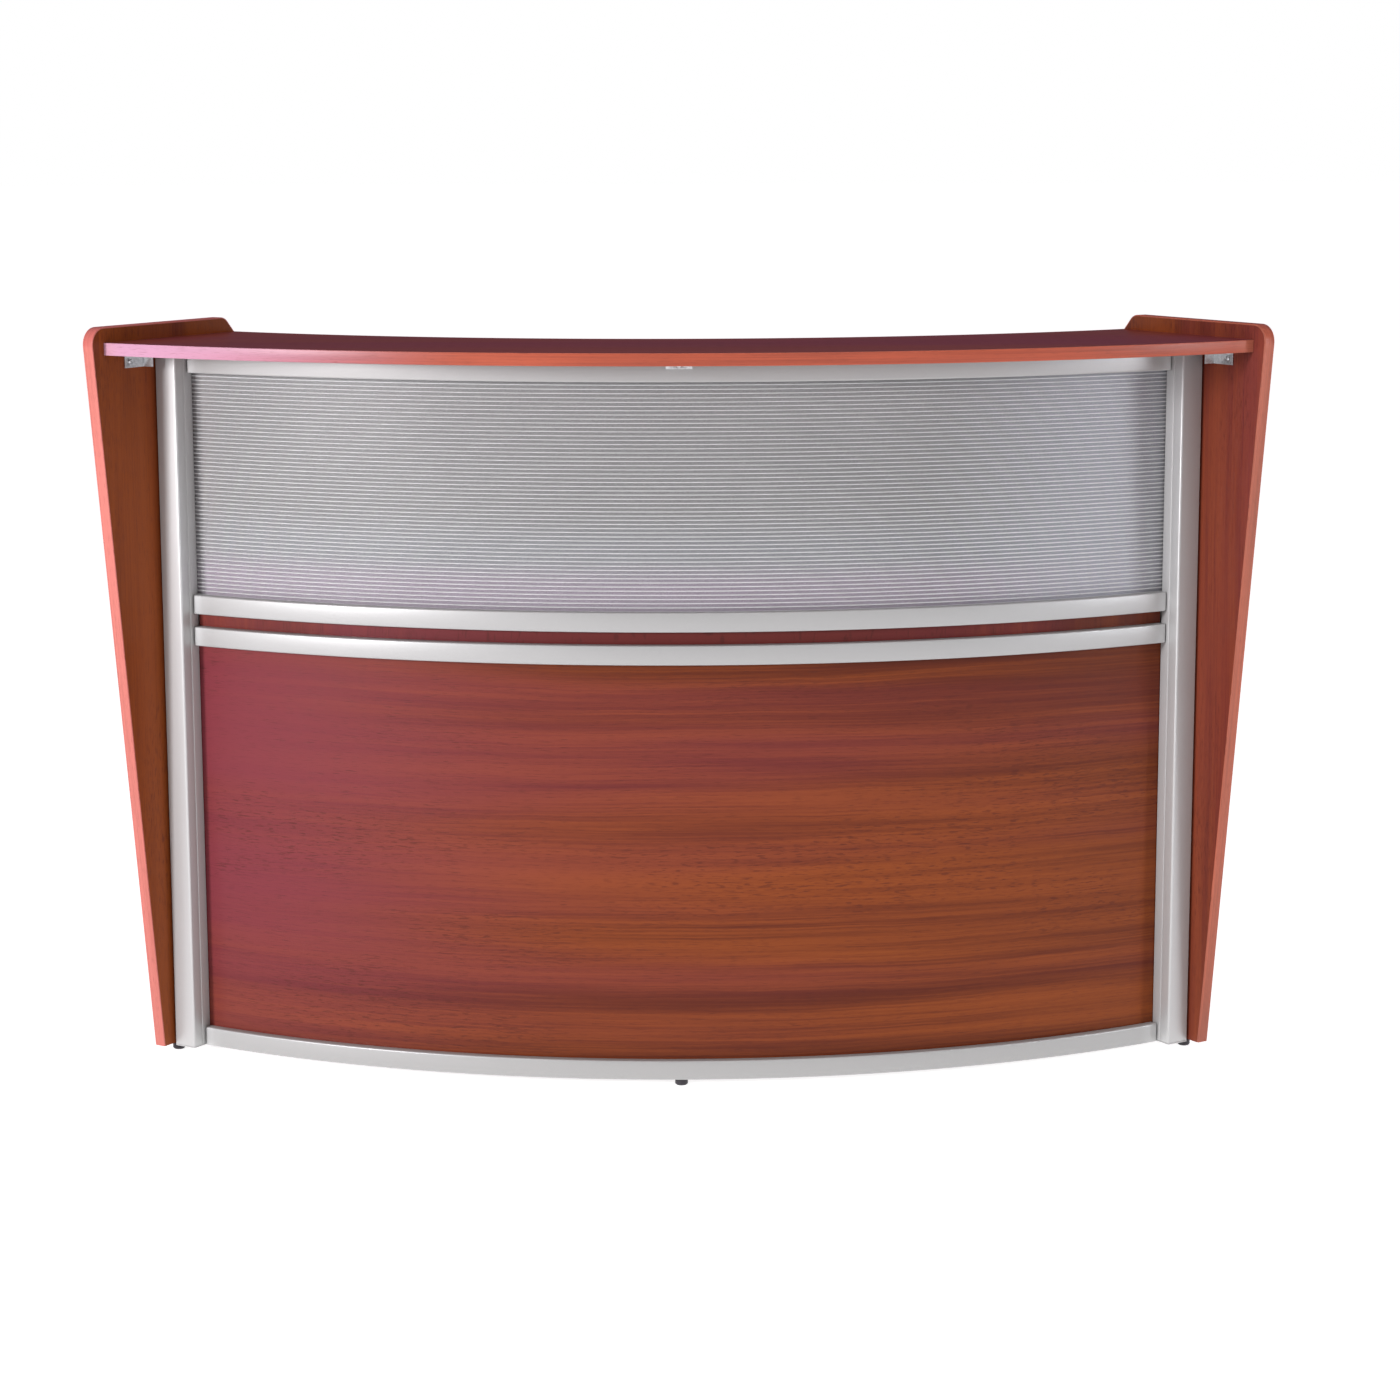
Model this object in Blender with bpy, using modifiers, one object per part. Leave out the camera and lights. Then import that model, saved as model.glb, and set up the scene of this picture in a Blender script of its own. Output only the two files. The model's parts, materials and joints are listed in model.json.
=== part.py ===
"""A curved reception and checkout counter: a silver frame of two posts and four curved rails carries a
ribbed translucent panel above and a laminated panel below, between two splayed end panels, with a raised
transaction shelf in front and a work surface behind.

Everything in plan is laid out around one vertical axis behind the counter, the arc centre. A radius is
measured from that axis. Each end stands on a radial plane, and "off" is a distance from that plane,
positive outwards. Metres, +Z up, the front faces -Y, and the floor is z = 0.
"""

import math

import bmesh
import bpy

# Plan
HALF_ANGLE = math.radians(32)
ARC_SEGMENTS = 32
SHELF_FRONT = 1.652
SHELF_DEPTH = 0.310
POST_FRONT = 1.540
RAIL_FRONT = 1.5145
RAIL_DEPTH = 0.032
WORKTOP_FRONT = 1.500
WORKTOP_REAR = 0.973
END_REAR = 0.963

# Heights
END_TOP = 1.1675
SHELF_TOP = 1.1438
UPPER_RAIL_Z = 0.7125
LOWER_RAIL_Z = 0.662
BOTTOM_RAIL_Z = 0.012
TOP_RAIL_Z = 1.0905
WORKTOP_TOP = 0.7113
POST_FOOT = 0.0125
END_FOOT = 0.015

# Sections
BOARD = 0.019
BAND = 0.002
GLUE_LINE = 0.00015
GAP = 0.0003
RAIL_HEIGHT = 0.030
RAIL_ROUND = 0.002
PANEL = 0.008
PANEL_INSET = 0.0145
GROOVE_WIDTH = 0.009
GROOVE_DEPTH = 0.008
RAIL_END_GAP = 0.003
POST_WIDTH = 0.040
POST_DEPTH = 0.062
POST_STANDOFF = 0.003
POST_WALL = 0.0025
POST_ROUND = 0.003
SLOT_WIDTH = 0.010
SLOT_DEPTH = 0.010
SLOT_BITE = 0.007
SCORE_BACK = 0.0205
CAP_PLATE = 0.002
CAP_SPIGOT = 0.012

# End panel outline, as radius and height
END_TOP_FRONT = 1.681
END_FOOT_FRONT = 1.5625
END_TOP_REAR = 1.365
END_SHOULDER_Z = 0.745
END_FRONT_ROUND = 0.027
END_REAR_ROUND = 0.020
END_SHOULDER_ROUND = 0.060

# Small parts
GLIDE_RADIUS = 0.010
GLIDE_HEIGHT = 0.0105
STEM_RADIUS = 0.004
STEM_LENGTH = 0.034
CENTER_STEM_LENGTH = 0.020
INSERT_RADIUS = 0.006
INSERT_LENGTH = 0.016
BRACKET_BACK = 1.563
BRACKET_LEG = 0.044
BRACKET_WEB = 0.020
BRACKET_HEIGHT = 0.022
SHEET = 0.002
CLEAT_LEG = 0.025
CLEAT_REAR = 1.050
CLEAT_FRONT = 1.430
SPACER_RADIUS = 0.008
BOLT_RADIUS = 0.0035
BOLT_HEAD_RADIUS = 0.0085
BOLT_HEAD = 0.0025
GROMMET_HOLE = 0.030
GROMMET_FLANGE = 0.034
GROMMET_BORE = 0.027
GROMMET_LEDGE = 0.024
GROMMET_RING = 1.380
GROMMET_ANGLE = math.radians(17)
CABLE_NOTCH = 0.009
ROUND_SIDES = 16
GLIDE_SIDES = 24
GROMMET_SIDES = 40

# Worked out from the above
SHELF_BACK = SHELF_FRONT - SHELF_DEPTH
SHELF_UNDER = SHELF_TOP - BOARD
WORKTOP_UNDER = WORKTOP_TOP - BOARD
POST_INNER = POST_STANDOFF + POST_WIDTH
POST_BACK = POST_FRONT - POST_DEPTH
PANEL_FRONT = RAIL_FRONT - PANEL_INSET
PANEL_BACK = PANEL_FRONT - PANEL
PANEL_MIDDLE = PANEL_FRONT - PANEL / 2
TOP_RAIL_HEIGHT = SHELF_UNDER - GAP - TOP_RAIL_Z
REAR_Y = END_REAR * math.cos(HALF_ANGLE) - BOARD * math.sin(HALF_ANGLE)
ARC_Y = (SHELF_FRONT + REAR_Y) / 2
SIDES = (("left", -1), ("right", 1))


def clear_scene():
    for obj in list(bpy.data.objects):
        bpy.data.objects.remove(obj)
    for name in ("curved_counter", "cutters"):
        group = bpy.data.collections.new(name)
        bpy.context.scene.collection.children.link(group)


def material(name, colour, roughness, metallic=0.0, alpha=1.0):
    mat = bpy.data.materials.new(name)
    mat.use_nodes = True
    shader = mat.node_tree.nodes["Principled BSDF"]
    shader.inputs["Base Color"].default_value = (*colour, 1)
    shader.inputs["Roughness"].default_value = roughness
    shader.inputs["Metallic"].default_value = metallic
    shader.inputs["Alpha"].default_value = alpha
    mat.diffuse_color = (*colour, 1)
    return mat


def make_materials():
    return {
        "cherry_board": material("cherry_board", (0.20, 0.036, 0.022), 0.35),
        "edge_band": material("edge_band", (0.36, 0.10, 0.045), 0.38),
        "silver_frame": material("silver_frame", (0.46, 0.46, 0.46), 0.42, 0.35),
        "polycarbonate": material("polycarbonate", (0.62, 0.64, 0.68), 0.25, 0.0, 0.75),
        "zinc": material("zinc", (0.55, 0.56, 0.57), 0.35, 0.9),
        "black_plastic": material("black_plastic", (0.02, 0.02, 0.022), 0.5),
        "gray_plastic": material("gray_plastic", (0.20, 0.20, 0.21), 0.5),
    }


def add_object(name, data, mat, parent=None, cutter=False):
    obj = bpy.data.objects.new(name, data)
    bpy.data.collections["cutters" if cutter else "curved_counter"].objects.link(obj)
    if cutter:
        obj.hide_render = True
        obj.display_type = "WIRE"
    if mat:
        data.materials.append(mat)
    obj.parent = parent
    return obj


def end_angle(radius, off):
    """The half angle at which an arc of this radius meets the line this far inside the end plane."""
    return HALF_ANGLE - math.asin(off / radius)


def arc(radius, start, end, segments=ARC_SEGMENTS):
    """Plan points along an arc. An angle is measured from the front, towards +X."""
    angles = [start + (end - start) * i / segments for i in range(segments + 1)]
    return [(radius * math.sin(a), -radius * math.cos(a)) for a in angles]


def rounded(points, radii, segments=8):
    """A polygon whose corners are rounded to the radii given; 0 leaves a corner sharp."""
    outline = []
    for i, (x, y) in enumerate(points):
        radius = radii[i]
        if not radius:
            outline.append((x, y))
            continue
        before = (points[i - 1][0] - x, points[i - 1][1] - y)
        after = (points[(i + 1) % len(points)][0] - x, points[(i + 1) % len(points)][1] - y)
        a = math.atan2(before[1], before[0])
        b = math.atan2(after[1], after[0])
        half = ((b - a + math.pi) % math.tau - math.pi) / 2
        reach = radius / math.sin(abs(half))
        cx = x + reach * math.cos(a + half)
        cy = y + reach * math.sin(a + half)
        sweep = (math.pi - 2 * abs(half)) * (1 if half < 0 else -1)
        first = a + (math.pi / 2 if half < 0 else -math.pi / 2)
        for step in range(segments + 1):
            turn = first + sweep * step / segments
            outline.append((cx + radius * math.cos(turn), cy + radius * math.sin(turn)))
    return outline


def plate(name, outlines, thickness, mat, location=(0, 0, 0), turn=(0, 0, 0), parent=None, bevel=0.0):
    """A flat outline, and any holes in it, extruded evenly to both sides of its plane."""
    curve = bpy.data.curves.new(name, "CURVE")
    curve.dimensions = "2D"
    curve.fill_mode = "BOTH"
    curve.extrude = thickness / 2
    for outline in outlines:
        spline = curve.splines.new("POLY")
        spline.points.add(len(outline) - 1)
        for point, (x, y) in zip(spline.points, outline):
            point.co = (x, y, 0, 1)
        spline.use_cyclic_u = True
    obj = add_object(name, curve, mat, parent)
    obj.location = location
    obj.rotation_euler = turn
    if bevel:
        weld = obj.modifiers.new("weld", "WELD")
        weld.merge_threshold = 0.00001
        add_bevel(obj, bevel)
    return obj


def add_bevel(obj, width):
    bevel = obj.modifiers.new("bevel", "BEVEL")
    bevel.width = width
    bevel.segments = 1
    bevel.limit_method = "ANGLE"
    bevel.angle_limit = math.radians(50)


def as_mesh(obj):
    """The same piece as a welded mesh, which can be cut."""
    graph = bpy.context.evaluated_depsgraph_get()
    mesh = bpy.data.meshes.new_from_object(obj.evaluated_get(graph))
    mesh.name = obj.name
    bm = bmesh.new()
    bm.from_mesh(mesh)
    bmesh.ops.remove_doubles(bm, verts=bm.verts, dist=0.00001)
    bmesh.ops.recalc_face_normals(bm, faces=bm.faces)
    bm.to_mesh(mesh)
    bm.free()
    name, place, parent = obj.name, obj.matrix_world.copy(), obj.parent
    bpy.data.objects.remove(obj)
    made = add_object(name, mesh, None, parent)
    made.matrix_world = place
    return made


def solid_from_bmesh(name, bm, mat, parent=None, cutter=False):
    bmesh.ops.recalc_face_normals(bm, faces=bm.faces)
    mesh = bpy.data.meshes.new(name)
    bm.to_mesh(mesh)
    bm.free()
    return add_object(name, mesh, mat, parent, cutter)


def swept(name, profile, half_angle, mat, cutter=False):
    """A section of (radius, height) points swept about the arc centre, from end to end."""
    bm = bmesh.new()
    ring = [(r * math.sin(-half_angle), -r * math.cos(half_angle), z) for r, z in profile]
    bm.faces.new([bm.verts.new(point) for point in ring])
    whole = bm.verts[:] + bm.edges[:] + bm.faces[:]
    bmesh.ops.spin(bm, geom=whole, axis=(0, 0, 1), angle=2 * half_angle, steps=ARC_SEGMENTS)
    obj = solid_from_bmesh(name, bm, mat, cutter=cutter)
    obj.location = (0, ARC_Y, 0)
    obj.data.shade_smooth()
    obj.data.set_sharp_from_angle(angle=math.radians(30))
    return obj


def sector(name, inner, outer, half_angle, z0, z1, mat, bevel=0.0):
    """A flat board or strip between two arcs and two radial ends."""
    outline = arc(outer, -half_angle, half_angle) + arc(inner, half_angle, -half_angle)
    middle = (0, ARC_Y, (z0 + z1) / 2)
    return plate(name, [outline], z1 - z0, mat, location=middle, bevel=bevel)


def turned(name, profile, mat, location, parent=None, turn=(0, 0, 0), sides=ROUND_SIDES):
    """A closed profile of (radius, height) points, outer side first from the top down, turned about Z."""
    bm = bmesh.new()
    points = [bm.verts.new((r, 0, z)) for r, z in profile]
    on_axis = profile[0][0] == 0
    for a, b in zip(points, points[1:] if on_axis else points[1:] + points[:1]):
        bm.edges.new((a, b))
    mesh = bpy.data.meshes.new(name)
    bm.to_mesh(mesh)
    bm.free()
    obj = add_object(name, mesh, mat, parent)
    obj.location = location
    obj.rotation_euler = turn
    screw = obj.modifiers.new("turn", "SCREW")
    screw.steps = sides
    screw.render_steps = sides
    screw.use_merge_vertices = True
    screw.merge_threshold = 0.00001
    screw.use_smooth_shade = True
    return obj


def box(name, x, y, z, mat, parent=None, cutter=False, location=(0, 0, 0)):
    """A box between the pairs of limits given, in its parent's frame."""
    bm = bmesh.new()
    bmesh.ops.create_cube(bm, size=1)
    middle = [(side[0] + side[1]) / 2 for side in (x, y, z)]
    size = [abs(side[1] - side[0]) for side in (x, y, z)]
    bmesh.ops.scale(bm, vec=size, verts=bm.verts)
    bmesh.ops.translate(bm, vec=middle, verts=bm.verts)
    obj = solid_from_bmesh(name, bm, mat, parent, cutter)
    obj.location = location
    return obj


def cylinder(name, radius, length, location, turn, parent=None, sides=ROUND_SIDES):
    """A cutter whose flats lie on the radius and whose base is centred on its location."""
    corner = radius / math.cos(math.pi / sides)
    bm = bmesh.new()
    bmesh.ops.create_cone(bm, cap_ends=True, segments=sides, radius1=corner, radius2=corner, depth=length)
    bmesh.ops.translate(bm, vec=(0, 0, length / 2), verts=bm.verts)
    obj = solid_from_bmesh(name, bm, None, parent, cutter=True)
    obj.location = location
    obj.rotation_euler = turn
    return obj


def combine(obj, tool, operation):
    boolean = obj.modifiers.new(operation.lower(), "BOOLEAN")
    boolean.operation = operation
    boolean.solver = "EXACT"
    boolean.object = tool


def bore(pieces, name, radius, length, location, turn=(0, 0, 0), parent=None, sides=ROUND_SIDES):
    tool = cylinder(name, radius, length, location, turn, parent, sides)
    for piece in pieces:
        combine(piece, tool, "DIFFERENCE")


def make_end_frames():
    """One empty at the arc centre for each end: its X runs out along the end plane."""
    frames = {}
    for side, sign in SIDES:
        frame = add_object(side + "_end_frame", None, None)
        frame.location = (0, ARC_Y, 0)
        frame.rotation_euler = (0, 0, -math.pi / 2 + sign * HALF_ANGLE)
        frames[side] = frame
    bpy.context.view_layer.update()
    return frames


def on_end(radius, off, sign, z):
    """A place in an end frame: out along the end plane, off it, and up."""
    return (radius, sign * off, z)


def make_shelf(mats):
    half_angle = HALF_ANGLE - GAP / SHELF_BACK
    band = BAND + GLUE_LINE
    board = sector("transaction_counter", SHELF_BACK + band, SHELF_FRONT - band, half_angle,
                   SHELF_UNDER, SHELF_TOP, mats["cherry_board"])
    sector("counter_front_edge_band", SHELF_FRONT - BAND, SHELF_FRONT, half_angle,
           SHELF_UNDER, SHELF_TOP, mats["edge_band"], bevel=0.0007)
    sector("counter_rear_edge_band", SHELF_BACK, SHELF_BACK + BAND, half_angle,
           SHELF_UNDER, SHELF_TOP, mats["edge_band"], bevel=0.0007)
    return as_mesh(board)


def worktop_outline():
    """The board runs in front between the posts and behind them out to the end panels."""
    notch = POST_BACK - 0.002
    beside_post = end_angle(WORKTOP_FRONT, POST_INNER + 0.0015)
    under_post = end_angle(notch, POST_INNER + 0.0015)
    outer = HALF_ANGLE - GAP / WORKTOP_REAR
    rear = WORKTOP_REAR + BAND + GLUE_LINE
    front = arc(WORKTOP_FRONT, -beside_post, beside_post)
    right = arc(notch, under_post, outer, 2)
    left = arc(notch, -outer, -under_post, 2)
    return front + right + arc(rear, outer, -outer) + left


def make_worktop(mats):
    middle = (0, ARC_Y, WORKTOP_TOP - BOARD / 2)
    board = plate("work_surface", [worktop_outline()], BOARD, mats["cherry_board"], location=middle)
    sector("work_surface_edge_band", WORKTOP_REAR, WORKTOP_REAR + BAND, HALF_ANGLE - GAP / WORKTOP_REAR,
           WORKTOP_UNDER, WORKTOP_TOP, mats["edge_band"], bevel=0.0007)
    return as_mesh(board)


def end_outline(inset):
    """The end panel's outline, pulled in by the inset on every side but the bottom."""
    lean = math.atan2(END_TOP_FRONT - END_FOOT_FRONT, END_TOP - END_FOOT)
    slope = math.atan2(END_TOP_REAR - END_REAR, END_TOP - END_SHOULDER_Z)
    front = inset / math.cos(lean)
    top_front = END_TOP_FRONT - front - inset * math.tan(lean)
    top_rear = END_TOP_REAR + inset / math.cos(slope) - inset * math.tan(slope)
    shoulder = END_SHOULDER_Z - inset * math.tan(math.pi / 4 - slope / 2)
    points = [(END_FOOT_FRONT - front, END_FOOT), (top_front, END_TOP - inset), (top_rear, END_TOP - inset),
              (END_REAR + inset, shoulder), (END_REAR + inset, END_FOOT)]
    radii = [0, END_FRONT_ROUND - inset, END_REAR_ROUND - inset, END_SHOULDER_ROUND - inset, 0]
    return rounded(points, radii)


def make_end_panel(side, sign, frame, mats):
    middle = (0, sign * BOARD / 2, 0)
    upright = (math.pi / 2, 0, 0)
    board = plate(side + "_end_panel", [end_outline(BAND + GLUE_LINE)], BOARD, mats["cherry_board"],
                  location=middle, turn=upright, parent=frame)
    strip = end_outline(0) + end_outline(BAND)[::-1]
    plate(side + "_end_panel_edge_band", [strip], BOARD, mats["edge_band"],
          location=middle, turn=upright, parent=frame, bevel=0.0007)
    bpy.context.view_layer.update()
    return as_mesh(board)


def post_outline(sign):
    """An extrusion with a slot for the panels and a fine score line in its inner side."""
    inner, outer = -POST_INNER, -POST_STANDOFF
    slot = (PANEL_MIDDLE - SLOT_WIDTH / 2, PANEL_MIDDLE + SLOT_WIDTH / 2)
    score = POST_FRONT - SCORE_BACK
    points = [(POST_BACK, outer), (POST_BACK, inner), (slot[0], inner), (slot[0], inner + SLOT_DEPTH),
              (slot[1], inner + SLOT_DEPTH), (slot[1], inner), (score - 0.0009, inner),
              (score, inner + 0.0012), (score + 0.0009, inner), (POST_FRONT, inner), (POST_FRONT, outer)]
    radii = [0.002, 0.002] + [0] * 7 + [POST_ROUND, POST_ROUND]
    return [(radius, sign * off) for radius, off in rounded(points, radii, 4)]


def post_hollow(sign):
    """The hollow of the extrusion, which steps round the slot."""
    back, front = POST_BACK + POST_WALL, POST_FRONT - POST_WALL
    beyond_slot = PANEL_MIDDLE + SLOT_WIDTH / 2 + POST_WALL
    outer = -POST_STANDOFF - POST_WALL
    behind_slot = -POST_INNER + SLOT_DEPTH + POST_WALL
    inner = -POST_INNER + POST_WALL
    points = [(back, outer), (back, behind_slot), (beyond_slot, behind_slot),
              (beyond_slot, inner), (front, inner), (front, outer)]
    return [(radius, sign * off) for radius, off in points]


def make_post(side, sign, frame, mats):
    foot, top = POST_FOOT + CAP_PLATE + GAP, SHELF_UNDER - CAP_PLATE - 2 * GAP
    post = plate(side + "_post", [post_outline(sign), post_hollow(sign)], top - foot, mats["silver_frame"],
                 location=(0, 0, (foot + top) / 2), parent=frame)
    bpy.context.view_layer.update()
    return as_mesh(post)


def make_post_cap(name, sign, z, spigot, frame, mats):
    """A plate over the post's end, with a spigot in its hollow."""
    corners = [(POST_BACK, sign * -POST_STANDOFF), (POST_BACK, sign * -POST_INNER),
               (POST_FRONT, sign * -POST_INNER), (POST_FRONT, sign * -POST_STANDOFF)]
    cap = plate(name, [rounded(corners, [0.002, 0.002, POST_ROUND, POST_ROUND], 4)], CAP_PLATE,
                mats["silver_frame"], location=(0, 0, z), parent=frame)
    bpy.context.view_layer.update()
    cap = as_mesh(cap)
    inside = POST_WALL + GAP
    tool = box(name + "_spigot", (POST_BACK + inside, POST_FRONT - inside),
               (sign * (-POST_STANDOFF - inside), sign * (-POST_INNER + SLOT_DEPTH + inside)),
               (z, z + spigot), None, frame, cutter=True)
    combine(cap, tool, "UNION")


def rail_profile(z, height, top_groove, bottom_groove):
    """A rail's section: rounded front arrises, with a groove for a panel where one sits."""
    back, groove = RAIL_FRONT - RAIL_DEPTH, PANEL_MIDDLE - GROOVE_WIDTH / 2
    lip = PANEL_MIDDLE + GROOVE_WIDTH / 2
    points, radii = [(back, 0)], [0.001]
    if bottom_groove:
        points += [(groove, 0), (groove, GROOVE_DEPTH), (lip, GROOVE_DEPTH), (lip, 0)]
        radii += [0] * 4
    points += [(RAIL_FRONT, 0), (RAIL_FRONT, height)]
    radii += [RAIL_ROUND] * 2
    if top_groove:
        points += [(lip, height), (lip, height - GROOVE_DEPTH), (groove, height - GROOVE_DEPTH),
                   (groove, height)]
        radii += [0] * 4
    points.append((back, height))
    radii.append(0.001)
    return [(radius, z + up) for radius, up in rounded(points, radii, 2)]


def make_rail(name, z, height, mats, top_groove=False, bottom_groove=False):
    """A curved rail, with a tongue at each end that enters the post's slot."""
    half_angle = end_angle(RAIL_FRONT, POST_INNER + RAIL_END_GAP)
    rail = swept(name, rail_profile(z, height, top_groove, bottom_groove), half_angle, mats["silver_frame"])
    middle = z + height / 2 + (0.006 if bottom_groove else 0) - (0.006 if top_groove else 0)
    inner, outer = PANEL_MIDDLE - 0.003, PANEL_MIDDLE + 0.003
    low, high = middle - 0.005, middle + 0.005
    section = [(inner, low), (outer, low), (outer, high), (inner, high)]
    tongue = end_angle(PANEL_MIDDLE, POST_INNER - SLOT_BITE)
    combine(rail, swept(name + "_tongue", section, tongue, None, cutter=True), "UNION")
    return rail


def make_panels(mats):
    half_angle = end_angle(PANEL_MIDDLE, POST_INNER - SLOT_BITE)
    seat = GROOVE_DEPTH - 0.0005
    sector("lower_front_panel", PANEL_BACK, PANEL_FRONT, half_angle,
           BOTTOM_RAIL_Z + RAIL_HEIGHT - seat, LOWER_RAIL_Z + seat, mats["cherry_board"])
    sector("polycarbonate_panel", PANEL_BACK, PANEL_FRONT, half_angle,
           UPPER_RAIL_Z + RAIL_HEIGHT - seat, TOP_RAIL_Z + seat, mats["polycarbonate"])


def make_screw(name, location, turn, mats, parent=None, radius=0.002, head=0.004, length=0.014, rise=0.0022):
    """A dome-headed screw. Its shank points along local -Z, and the head stands on local z = 0."""
    profile = [(0, rise), (head * 0.55, rise * 0.86), (head * 0.9, rise * 0.4), (head, 0), (radius, 0),
               (radius, -length + radius), (0, -length)]
    return turned(name, profile, mats["zinc"], location, parent, turn)


def fasten(name, location, turn, pieces, mats, parent=None, **size):
    """A screw, and its hole through each of the pieces that it holds."""
    screw = make_screw(name, location, turn, mats, parent, **size)
    radius = size.get("radius", 0.002) + GAP
    length = size.get("length", 0.014) + 0.0015
    flip = (turn[0] + math.pi, turn[1], turn[2])
    bore(pieces, name + "_hole", radius, length, location, flip, parent)
    return screw


def make_end_bracket(side, sign, frame, panel, shelf, mats):
    """A zinc corner bracket under the shelf: a leg on the end panel, a web, and a flange above them."""
    top = SHELF_UNDER - GAP
    back, front = BRACKET_BACK, BRACKET_BACK + BRACKET_LEG
    skin = -GAP
    bracket = box(side + "_counter_bracket", (back, front), (sign * (skin - SHEET), sign * skin),
                  (top - BRACKET_HEIGHT, top), mats["zinc"], frame)
    across = (sign * (skin - BRACKET_WEB), sign * (skin - SHEET / 2))
    web = box(side + "_bracket_web", (back, back + SHEET), across, (top - BRACKET_HEIGHT, top), None, frame,
              cutter=True)
    flange = box(side + "_bracket_flange", (back + SHEET / 2, front), across, (top - SHEET, top), None, frame,
                 cutter=True)
    combine(bracket, web, "UNION")
    combine(bracket, flange, "UNION")
    middle = (back + front) / 2 + SHEET / 2
    fasten(side + "_bracket_panel_screw",
           on_end(back + BRACKET_LEG * 0.76, skin - SHEET - GAP, sign, top - BRACKET_HEIGHT * 0.55),
           (sign * math.pi / 2, 0, 0), [bracket, panel], mats, frame)
    fasten(side + "_bracket_shelf_screw", on_end(middle, skin - BRACKET_WEB * 0.55, sign, top - SHEET - GAP),
           (math.pi, 0, 0), [bracket, shelf], mats, frame, length=0.013)


def make_center_bracket(rail, shelf, mats):
    """An angle on the front of the top rail, under the shelf."""
    top = SHELF_UNDER - GAP
    face = ARC_Y - RAIL_FRONT - GAP - 0.0004
    reach = 0.024
    across = (-0.020, 0.020)
    bracket = box("center_counter_bracket", across, (face - SHEET, face), (top - 0.014, top), mats["zinc"])
    flange = box("center_bracket_flange", across, (face - reach, face - SHEET / 2), (top - SHEET, top), None,
                 cutter=True)
    combine(bracket, flange, "UNION")
    fasten("center_bracket_rail_screw", (0, face - SHEET - GAP, top - 0.0085), (math.pi / 2, 0, 0),
           [bracket, rail], mats, length=0.012)
    fasten("center_bracket_shelf_screw", (0, face - reach * 0.6, top - SHEET - GAP), (math.pi, 0, 0),
           [bracket, shelf], mats, length=0.013)


def make_cleat(side, sign, frame, panel, worktop, mats):
    """A steel angle on the end panel that carries the work surface."""
    top = WORKTOP_UNDER - GAP
    skin = -GAP
    leg = [(skin, top), (skin - CLEAT_LEG, top), (skin - CLEAT_LEG, top - SHEET), (skin - SHEET, top - SHEET),
           (skin - SHEET, top - CLEAT_LEG), (skin, top - CLEAT_LEG)]
    outline = [(sign * off, z) for off, z in leg]
    middle = (CLEAT_REAR + CLEAT_FRONT) / 2
    cleat = plate(side + "_work_surface_cleat", [outline], CLEAT_FRONT - CLEAT_REAR, mats["silver_frame"],
                  location=(middle, 0, 0), turn=(math.pi / 2, 0, math.pi / 2), parent=frame)
    bpy.context.view_layer.update()
    cleat = as_mesh(cleat)
    for end, radius in (("rear", CLEAT_REAR + 0.040), ("front", CLEAT_FRONT - 0.040)):
        fasten(f"{side}_cleat_{end}_screw", on_end(radius, skin - SHEET - GAP, sign, top - CLEAT_LEG * 0.58),
               (sign * math.pi / 2, 0, 0), [cleat, panel], mats, frame)
    fasten(side + "_cleat_top_screw", on_end(middle, skin - CLEAT_LEG * 0.58, sign, top - SHEET - GAP),
           (math.pi, 0, 0), [cleat, worktop], mats, frame, length=0.016)


def make_post_fixing(side, sign, frame, level, z, panel, post, mats):
    """A bolt through the end panel and a spacer ring into the post, its head sunk flush in the panel."""
    radius = POST_FRONT - POST_DEPTH / 2
    thickness = POST_STANDOFF - 2 * GAP
    bore_radius = BOLT_RADIUS + GAP
    ring = [(SPACER_RADIUS, thickness / 2), (SPACER_RADIUS, -thickness / 2),
            (bore_radius, -thickness / 2), (bore_radius, thickness / 2)]
    turned(f"{side}_{level}_spacer", ring, mats["black_plastic"], on_end(radius, -POST_STANDOFF / 2, sign, z),
           frame, (math.pi / 2, 0, 0))
    seat = BOARD - BOLT_HEAD - 2 * GAP
    outwards = (-sign * math.pi / 2, 0, 0)
    bore([panel], f"{side}_{level}_counterbore", BOLT_HEAD_RADIUS + GAP, 0.01,
         on_end(radius, seat - GAP, sign, z), outwards, frame)
    fasten(f"{side}_{level}_bolt", on_end(radius, seat, sign, z), outwards, [panel, post], mats, frame,
           radius=BOLT_RADIUS, head=BOLT_HEAD_RADIUS, length=0.034, rise=BOLT_HEAD)


def make_glide(name, location, holder_z, holder, mats, parent=None, stem=STEM_LENGTH):
    """A levelling glide on the floor, and the threaded insert in the piece above that it screws into."""
    x, y = location
    chamfer = 0.002
    foot = [(0, GLIDE_HEIGHT + stem), (STEM_RADIUS, GLIDE_HEIGHT + stem), (STEM_RADIUS, GLIDE_HEIGHT),
            (GLIDE_RADIUS - 0.001, GLIDE_HEIGHT), (GLIDE_RADIUS, GLIDE_HEIGHT - 0.001), (GLIDE_RADIUS, chamfer),
            (GLIDE_RADIUS - chamfer, 0), (0, 0)]
    turned(name, foot, mats["black_plastic"], (x, y, 0), parent, sides=GLIDE_SIDES)
    bore_radius = STEM_RADIUS + GAP
    shell = [(INSERT_RADIUS, INSERT_LENGTH), (INSERT_RADIUS, 0), (bore_radius, 0), (bore_radius, INSERT_LENGTH)]
    turned(name + "_insert", shell, mats["zinc"], (x, y, holder_z), parent)
    bore([holder], name + "_insert_hole", INSERT_RADIUS + GAP, INSERT_LENGTH + GAP + 0.01,
         (x, y, holder_z - 0.01), parent=parent)
    stem_top = GLIDE_HEIGHT + stem + 0.001
    bore([holder], name + "_stem_hole", bore_radius, stem_top - holder_z, (x, y, holder_z), parent=parent)


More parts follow.
